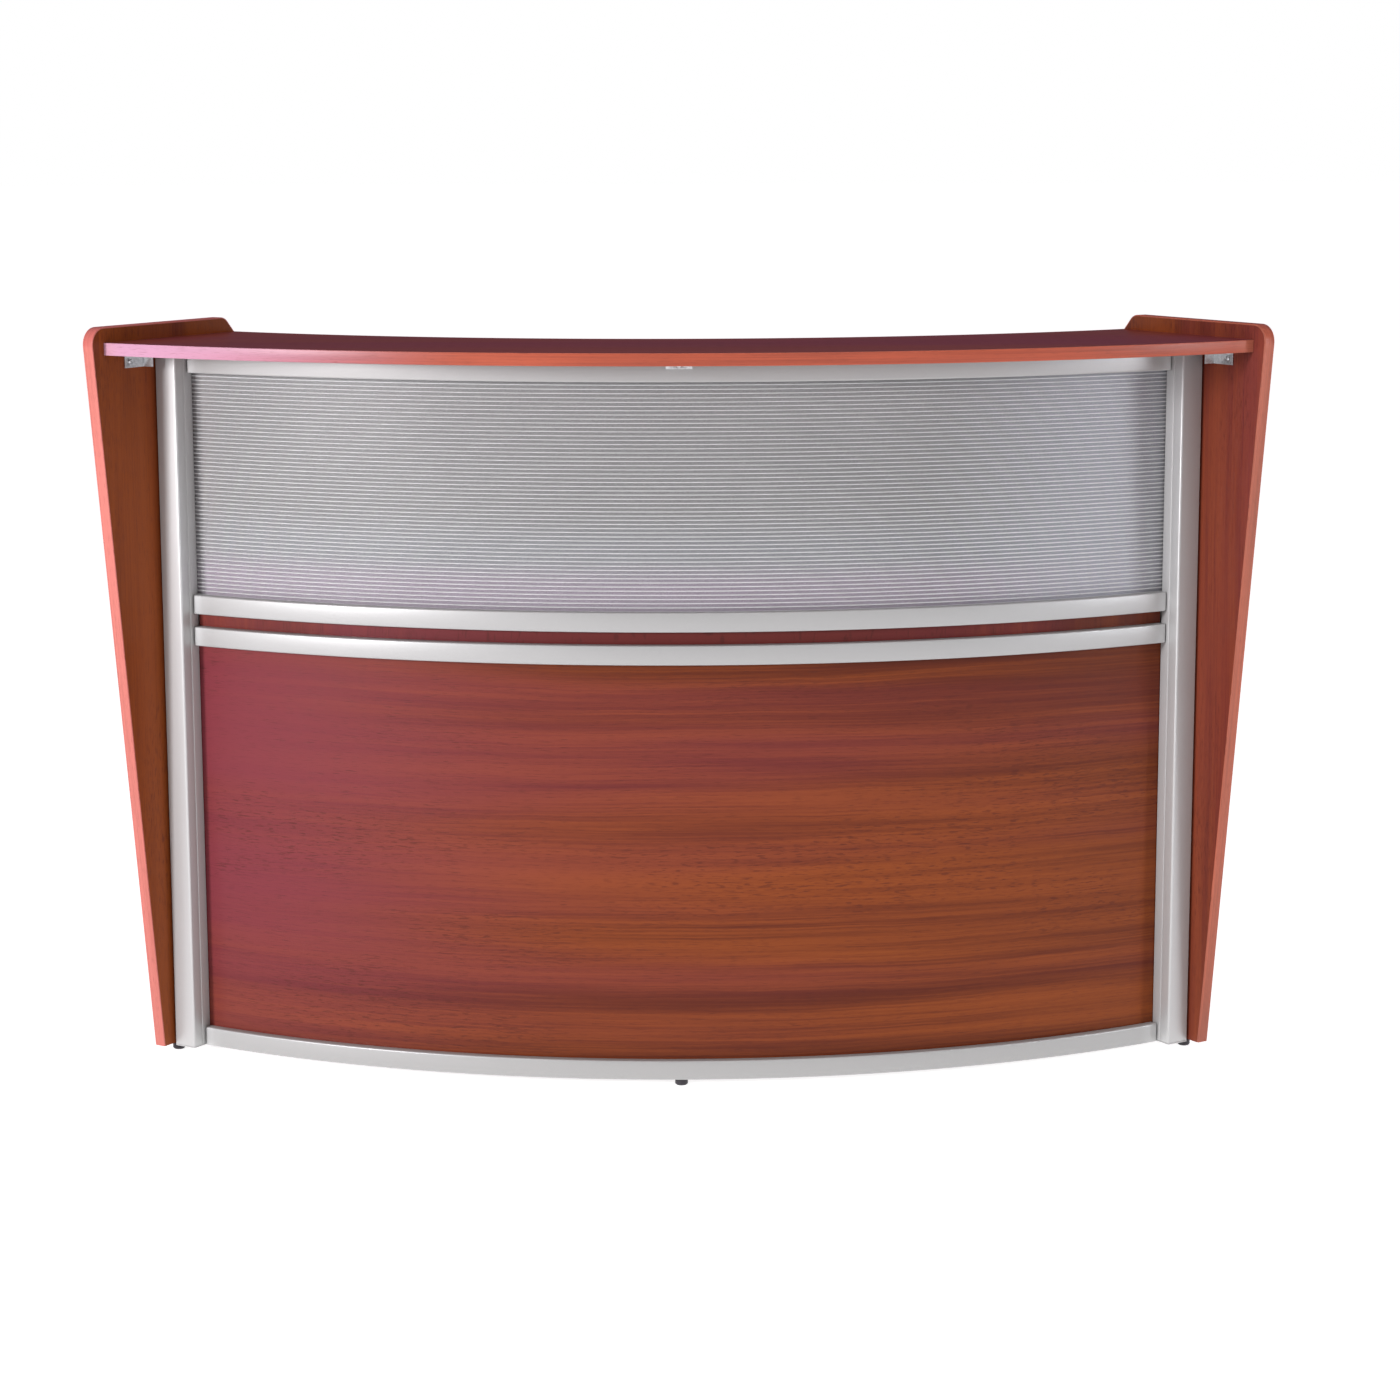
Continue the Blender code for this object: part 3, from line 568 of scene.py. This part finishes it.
# %% [markdown]
# ## The shelf and its bands
#
# The shelf is a 19 mm board cut to the arc, so it is one rectangular section swept between the end boards.
# Its bands, and the one on the user's edge of the work surface, are thin swept strips with rounded arrises
# on the side that shows. They stand one glue line off the board.

# %% The shelf and the three curved bands
END_CLEARANCE = 0.0003
BAND_ARRIS = 0.0009

shelf_low, shelf_high = heights("transaction_counter")
shelf_half = HALF_ANGLE - END_CLEARANCE / SHELF_BACK
inset = BAND + GLUE_LINE
shelf_section = block(SHELF_BACK + inset, SHELF_FRONT - inset, shelf_low, shelf_high)
shelf = sweep("shelf_board", shelf_section, shelf_half)
place_piece(shelf, cherry_deck, "transaction_counter")


def band(name, node, inner, outer, half_angle, outer_side):
    """A strip with its two arrises rounded on the side that shows."""
    low, high = heights(node)
    rounds = [0, BAND_ARRIS, BAND_ARRIS, 0] if outer_side else [BAND_ARRIS, 0, 0, BAND_ARRIS]
    piece = sweep(name, block(inner, outer, low, high), half_angle, rounds)
    place_piece(piece, band_level, node)


band("shelf_front_band", "counter_front_edge_band", SHELF_FRONT - BAND, SHELF_FRONT, shelf_half, True)
band("shelf_rear_band", "counter_rear_edge_band", SHELF_BACK, SHELF_BACK + BAND, shelf_half, False)
worktop_half = HALF_ANGLE - END_CLEARANCE / WORKTOP_REAR
band("worktop_rear_band", "work_surface_edge_band", WORKTOP_REAR, WORKTOP_REAR + BAND, worktop_half, False)
print("shelf board and three bands, faces in the board:", len(shelf.data.polygons))

# %% [markdown]
# ## The rails
#
# Each rail is an extrusion bent to the arc. Its front arrises are rounded, and it has a groove wherever a
# sheet or panel sits in it, so the groove's mouth shows as a fine shadow beside the panel.

# %% Four rails
GROOVE_IN = 1.4915
GROOVE_OUT = 1.5005
GROOVE_DEPTH = 0.008
GROOVE_ROUNDS = [0.0005, 0, 0, 0.0005]
RAIL_FRONT_ARRIS = 0.0024
RAIL_REAR_ARRIS = 0.001
RAIL_END_GAP = 0.003


def groove(mouth, floor):
    """The four corners of a groove, from the inner side of its mouth to the outer side."""
    return [(GROOVE_IN, mouth), (GROOVE_IN, floor), (GROOVE_OUT, floor), (GROOVE_OUT, mouth)]


def rail(name, node, groove_below, groove_above):
    """A bent extrusion with rounded arrises and a groove in its underside or in its top."""
    low, high = heights(node)
    section, rounds = [(RAIL_BACK, low)], [RAIL_REAR_ARRIS]
    if groove_below:
        section += groove(low, low + GROOVE_DEPTH)
        rounds += GROOVE_ROUNDS
    section += [(RAIL_FRONT, low), (RAIL_FRONT, high)]
    rounds += [RAIL_FRONT_ARRIS, RAIL_FRONT_ARRIS]
    if groove_above:
        section += reversed(groove(high, high - GROOVE_DEPTH))
        rounds += GROOVE_ROUNDS
    section.append((RAIL_BACK, high))
    rounds.append(RAIL_REAR_ARRIS)
    half_angle = angle_inside(RAIL_FRONT, POST_INNER + RAIL_END_GAP)
    place_piece(sweep(name, section, half_angle, rounds, segments=4), silver_frame, node)


rail("rail_top", "top_rail", True, False)
rail("rail_upper_mid", "upper_mid_rail", False, True)
rail("rail_lower_mid", "lower_mid_rail", True, False)
rail("rail_bottom", "bottom_rail", False, True)
print("four rails, each", ARC_STEPS, "steps round the arc")

# %% [markdown]
# ## The laminated panel and the ribbed sheet
#
# The lower panel is an 8 mm board bent into the grooves. The sheet above is twin wall: two thin skins joined
# by level ribs 6.4 mm apart. The ribs' upper faces catch the light that comes through the front skin. The
# front skin, the back skin and the ribs are three swept pieces, each with its own finish.

# %% The laminated panel
panel_half = angle_inside((PANEL_FRONT + PANEL_BACK) / 2, POST_INNER - SLOT_BITE)
panel_low, panel_high = heights("lower_front_panel")
panel = sweep("front_panel", block(PANEL_BACK, PANEL_FRONT, panel_low, panel_high), panel_half)
place_piece(panel, cherry_level, "lower_front_panel")
print("panel", round(panel_high - panel_low, 3), "m high")

# %% The ribbed sheet
RIB_PITCH = 0.0064
RIB = 0.0006
SKIN = 0.0004
RIB_STEPS = 48


def strips(name, sections, steps):
    """Several rectangular sections swept in one mesh."""
    bm = bmesh.new()
    for section in sections:
        bm.faces.new([bm.verts.new((0, -radius, z)) for radius, z in section])
    spin_about_axis(bm, panel_half, steps)
    return finish_mesh(name, bm)


sheet_low, sheet_high = heights("polycarbonate_panel")
cells = round((sheet_high - sheet_low) / RIB_PITCH)
pitch = (sheet_high - sheet_low - RIB) / cells
rib_feet = [sheet_low + index * pitch for index in range(cells + 1)]
back_section = block(PANEL_BACK, PANEL_BACK + SKIN, sheet_low, sheet_high)
front_section = block(PANEL_FRONT - SKIN, PANEL_FRONT, sheet_low, sheet_high)
rib_sections = [block(PANEL_BACK + SKIN, PANEL_FRONT - SKIN, foot, foot + RIB) for foot in rib_feet]
for name, sections, steps, plastic in (
    ("sheet_back_skin", [back_section], ARC_STEPS, back_plastic),
    ("sheet_front_skin", [front_section], ARC_STEPS, front_plastic),
    ("sheet_ribs", rib_sections, RIB_STEPS, rib_plastic),
):
    place_piece(strips(name, sections, steps), plastic, "polycarbonate_panel")
print("ribbed sheet:", cells, "cells between two skins")

# %% [markdown]
# ## Bands of the end boards
#
# The band runs up the front edge of an end board, over the top and down the rear edge. It starts as the
# board's outline, a five-cornered face whose three upper corners are rounded with a vertex bevel. Insetting
# that face by the band's thickness leaves a ring, a cut at the board's foot opens the ring, and extruding
# what is left gives the strip.

# %% The end boards' outline as a ring
END_OUTLINE = [(1.5625, 0.015), (1.681, 1.1675), (1.365, 1.1675), (0.963, 0.745), (0.963, 0.015)]
END_ROUNDS = [0, 0.027, 0.020, 0.060, 0]
END_FOOT = END_OUTLINE[0][1]
SPARE_BELOW = 0.02


def draw_outline(bm):
    """The outline in radius and height, with its two feet lengthened past the cut."""
    points = [Vector((radius, 0, z)) for radius, z in END_OUTLINE]
    lean = (points[1] - points[0]).normalized()
    points[0] = points[0] - lean * SPARE_BELOW
    points[4] = points[4] - Vector((0, 0, SPARE_BELOW))
    corners = [bm.verts.new(point) for point in points]
    bm.faces.new(corners)
    for index, radius in enumerate(END_ROUNDS):
        if radius:
            before = (points[index - 1] - points[index]).normalized()
            after = (points[(index + 1) % 5] - points[index]).normalized()
            reach = radius / math.tan(before.angle(after) / 2)
            bmesh.ops.bevel(bm, geom=[corners[index]], offset=reach, offset_type="OFFSET", segments=14,
                            profile=0.5, affect="VERTICES", material=-1)


def cut_ring(bm):
    """Leaves the rim of the outline, as wide as the band is thick, above the board's foot."""
    bm.faces.ensure_lookup_table()
    bmesh.ops.inset_individual(bm, faces=bm.faces[:], thickness=BAND, use_even_offset=True)
    bm.faces.ensure_lookup_table()
    core = max(bm.faces, key=lambda face: face.calc_area())
    bmesh.ops.delete(bm, geom=[core], context="FACES")
    whole = bm.verts[:] + bm.edges[:] + bm.faces[:]
    bmesh.ops.bisect_plane(bm, geom=whole, dist=1e-7, plane_co=(0, 0, END_FOOT), plane_no=(0, 0, 1),
                           clear_inner=True)


# %% [markdown]
# The strip is drawn flat, in radius and height, and then stood on the plane of its end board. Only the two
# long arrises of its outer side are rounded, since the inner side is glued to the board.

# %% The end bands
BOARD = 0.019
BOARD_MIDDLE = Vector((1.32, 0, 0.55))
CORNER_ABOVE = math.radians(60)


def is_outer(edge):
    """True for the long arrises of the outer side, where the strip's face points away from the board."""
    middle = (edge.verts[0].co + edge.verts[1].co) / 2
    level = abs(edge.verts[0].co.y - edge.verts[1].co.y) < 1e-6
    away = [face for face in edge.link_faces if abs(face.normal.y) < 0.5]
    return level and bool(away) and away[0].normal.dot(Vector((middle.x, 0, middle.z)) - BOARD_MIDDLE) > 0


def is_arris(edge):
    """True for a sharp outer edge that doesn't lie under the board's foot."""
    sharp = edge.is_manifold and edge.calc_face_angle() > CORNER_ABOVE
    return sharp and min(vert.co.z for vert in edge.verts) > END_FOOT - 1e-5 and is_outer(edge)


def end_band(side):
    """The strip round one end board."""
    sign = -1 if side == "left" else 1
    bm = bmesh.new()
    draw_outline(bm)
    cut_ring(bm)
    grown = bmesh.ops.extrude_face_region(bm, geom=bm.faces[:])
    moved = [item for item in grown["geom"] if isinstance(item, bmesh.types.BMVert)]
    bmesh.ops.translate(bm, vec=(0, BOARD, 0), verts=moved)
    bmesh.ops.recalc_face_normals(bm, faces=bm.faces)
    arrises = [edge for edge in bm.edges if is_arris(edge)]
    bmesh.ops.bevel(bm, geom=arrises, offset=BAND_ARRIS, offset_type="OFFSET", segments=3, profile=0.5,
                    affect="EDGES", material=-1)
    stand = Matrix.Rotation(-math.pi / 2 + sign * HALF_ANGLE, 4, "Z")
    if sign < 0:
        bmesh.ops.scale(bm, vec=(1, -1, 1), verts=bm.verts)
    bmesh.ops.transform(bm, matrix=Matrix.Translation((0, arc_y, 0)) @ stand, verts=bm.verts)
    piece = finish_mesh(f"{side}_end_band", bm)
    place_piece(piece, band_upright[side], f"{side}_end_panel_edge_band")


for side in end_turn:
    end_band(side)
    frame["nodes"][f"{side}_end_panel"].material_slots[0].material = cherry_upright[side]
print("two end bands on two end boards")

# %% [markdown]
# ## The straight pieces
#
# Posts, caps, brackets, angles, screws, glides and grommets have the right shapes already. A copy of each
# mesh is merged, its flat faces are joined up again, and its arrises get a fine rounding, so light runs along
# them. The copy stands for the node. The work surface and the two end boards keep their own meshes.

# %% Refine the rest
SHARP_ABOVE = math.radians(50)
FLAT_BELOW = math.radians(0.6)
MERGE_BELOW = 0.00002
FINE_ARRIS = 0.0003


def refine(node):
    """A merged copy of a node's mesh with smooth rounds and softened arrises."""
    bm = bmesh.new()
    bm.from_mesh(frame["nodes"][node].data)
    bmesh.ops.remove_doubles(bm, verts=bm.verts, dist=MERGE_BELOW)
    bmesh.ops.dissolve_limit(bm, angle_limit=FLAT_BELOW, verts=bm.verts, edges=bm.edges)
    sharp = [edge for edge in bm.edges if edge.is_manifold and edge.calc_face_angle() > SHARP_ABOVE]
    bmesh.ops.bevel(bm, geom=sharp, offset=FINE_ARRIS, offset_type="OFFSET", segments=2, profile=0.5,
                    affect="EDGES", material=-1, clamp_overlap=True)
    place_piece(finish_mesh(node + "_fine", bm), finish_of[slot_of[node]], node)


done = {name for piece in bpy.data.objects for name in piece.get("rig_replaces", [])}
own_mesh = {"work_surface", "left_end_panel", "right_end_panel"}
# The work surface wears the darker laminate with its painted shade.
frame["nodes"]["work_surface"].material_slots[0].material = cherry_desk
rest = sorted(set(frame["nodes"]) - done - own_mesh)
for node in rest:
    refine(node)
print("refined copies:", len(rest))

# %% [markdown]
# ## Floor, light and camera
#
# The counter stands on a plain pale floor in a white room. A small strong light at the left gives the frame
# its bright side, and a narrow cooler one at the right brightens the other end. A large weak one hangs
# overhead, and the weakest one fills in from the front.

# %% The floor
FLOOR_REACH = 60
FLOOR_DIM = rgb(0.66, 0.66, 0.66)
FLOOR_BRIGHT = rgb(0.68, 0.68, 0.68)


def make_floor():
    """A wide plane that glows a little, so that it melts into the room."""
    paint = Finish("studio_floor", Roughness=0.9, Specular_IOR_Level=0.1, Emission_Color=rgb(1, 1, 1),
                   Emission_Strength=0.82)
    place = paint.vector(*paint.place())
    paint.drive(Base_Color=paint.mix(paint.noise(place, 3.0), FLOOR_DIM, FLOOR_BRIGHT))
    bm = bmesh.new()
    bmesh.ops.create_grid(bm, x_segments=1, y_segments=1, size=FLOOR_REACH)
    floor = finish_mesh("studio_floor", bm)
    floor.data.materials.append(paint.owner)


make_floor()
print("floor laid")

# %% The lights
def soft_light(name, position, target, width, height, power, colour=(1, 1, 1)):
    """A rectangular light of this many metres and watts that faces a point."""
    lamp = bpy.data.lights.new(name, "AREA")
    lamp.shape = "RECTANGLE"
    lamp.size, lamp.size_y = width, height
    lamp.energy = power
    lamp.color = colour
    holder = bpy.data.objects.new(name, lamp)
    holder.location = position
    holder.rotation_euler = (Vector(target) - Vector(position)).to_track_quat("-Z", "Y").to_euler()
    bpy.context.scene.collection.objects.link(holder)


middle = (cad_box[0] + cad_box[1]) / 2
soft_light("light_left", (-4.05, -3.65, 1.80), (-0.75, -0.3, 0.75), 0.6, 0.9, 250, (0.99, 0.97, 1.0))
soft_light("light_overhead", (0.4, -1.6, 4.0), middle, 3.6, 2.6, 40)
soft_light("light_front", (2.2, -6.4, 2.2), middle, 2.6, 2.2, 20)
soft_light("light_right", (3.6, -1.6, 1.38), (0.3, -0.1, 1.0), 0.5, 1.2, 44, (0.92, 0.94, 1.0))
print("lights:", len(bpy.data.lights))

# %% [markdown]
# The room is white to the camera. To the counter it is dim: brightest overhead and in front, and dark and a
# little violet behind, which keeps the shelf's top deep in colour where it is seen at a flat angle.

# %% The room
ROOM_DIM = 0.08
ROOM_FRONT = 0.14
ROOM_ABOVE = 0.24
ROOM_VIOLET = rgb(1.0, 0.66, 0.90)
WHITE = rgb(1.0, 1.0, 1.0)


def make_room():
    """The world's shader."""
    world = bpy.data.worlds.new("studio_room")
    bpy.context.scene.world = world
    paint = Finish(world, "Background")
    x, y, z = paint.parts(paint.node("TexCoord", output="Generated"))
    front = (0.0 - y).between(-0.55, 0.65)
    above = z.between(0.05, 0.8)
    level = ROOM_DIM + front * ROOM_FRONT + above * ROOM_ABOVE
    tint = paint.mix(front, ROOM_VIOLET, WHITE)
    seen = paint.node("LightPath", output="Is Camera Ray")
    colour = paint.mix(seen, tint, WHITE)
    strength = level + seen * (1.0 - level)
    paint.drive(Color=colour, Strength=strength)


make_room()
bpy.context.scene.view_settings.view_transform = "Standard"
print("room ready")

# %% [markdown]
# The camera stands a little right of the middle, above the counter's top, and looks slightly down.

# %% The camera
SENSOR_WIDTH = 36
LENS = 86.297
CAMERA_RIGHT = 0.010
CAMERA_AWAY = 6.5265
CAMERA_HEIGHT = 1.4971
YAW = 0.004
PITCH = 0.1753
ROLL = -0.0025

camera_data = bpy.data.cameras.new("camera")
camera_data.sensor_width = SENSOR_WIDTH
camera_data.lens = LENS
camera = bpy.data.objects.new("camera", camera_data)
camera.location = (CAMERA_RIGHT, arc_y - CAMERA_AWAY, CAMERA_HEIGHT)
ahead = math.cos(PITCH)
forward = Vector((math.sin(YAW) * ahead, math.cos(YAW) * ahead, -math.sin(PITCH)))
flat_right = Vector((math.cos(YAW), -math.sin(YAW), 0))
level_up = flat_right.cross(forward)
right = math.cos(ROLL) * flat_right + math.sin(ROLL) * level_up
up = -math.sin(ROLL) * flat_right + math.cos(ROLL) * level_up
axes = Matrix((right, up, -forward)).transposed().to_4x4()
camera.matrix_world = Matrix.Translation(camera.location) @ axes
bpy.context.scene.collection.objects.link(camera)
bpy.context.scene.camera = camera
print("camera at", [round(value, 3) for value in camera.location])

# %% The last line
print("scene built")
